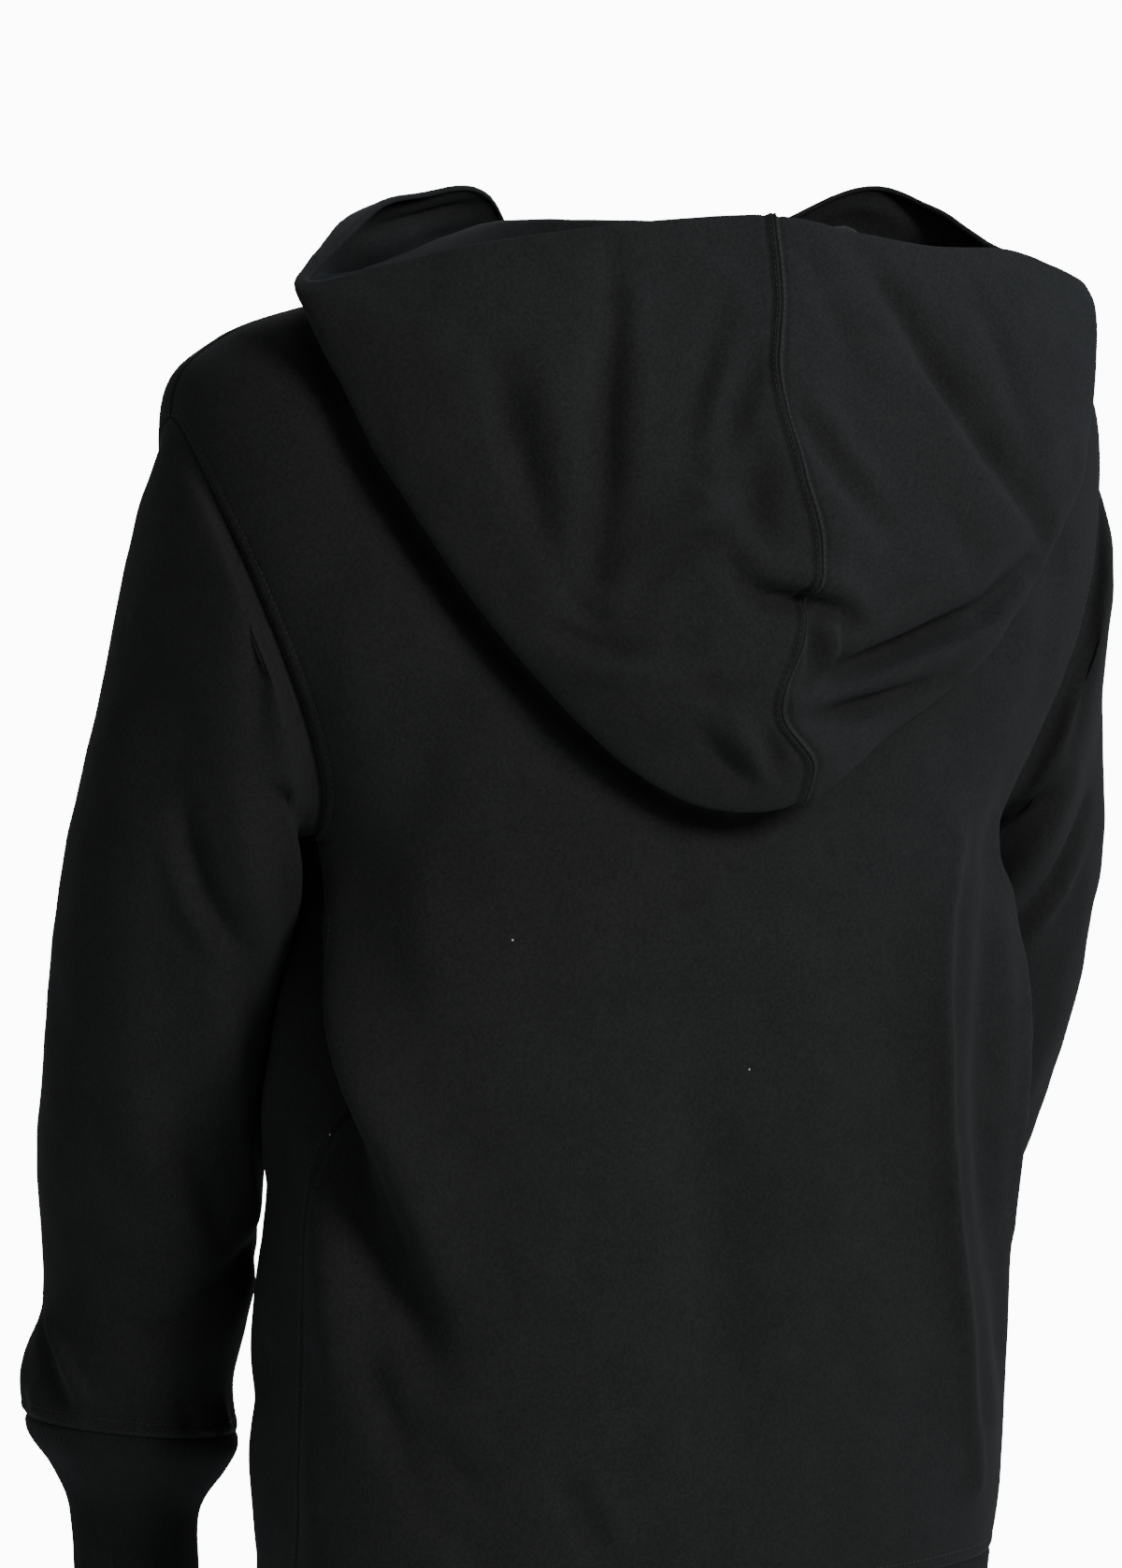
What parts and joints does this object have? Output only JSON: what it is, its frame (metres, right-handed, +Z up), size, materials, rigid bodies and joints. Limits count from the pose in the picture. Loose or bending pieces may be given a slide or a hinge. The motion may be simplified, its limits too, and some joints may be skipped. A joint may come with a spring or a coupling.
{
  "type": "pullover hoodie",
  "caption": "Black fleece pullover hoodie, worn with its hood down: a hollow body with rib waistband, set-in sleeves with rib cuffs and a two-half hood lying on the back.",
  "frame": {"origin": "base of the wearer's neck, midway between the two high shoulder points of the neckline", "axes": "+Z up along the wearer, the garment's front towards -Y, its back towards +Y and the wearer's left towards +X"},
  "size_m": [0.6174, 0.3839, 0.8042],
  "materials": {
    "fleece": "matte",
    "rib": "matte"
  },
  "bodies": {
    "root": {"back": "fleece", "front": "fleece", "sleeve_left": "fleece", "sleeve_right": "fleece", "hood_left": "fleece", "hood_right": "fleece", "waistband": "rib", "cuff_left": "rib", "cuff_right": "rib"}
  },
  "joints": []
}
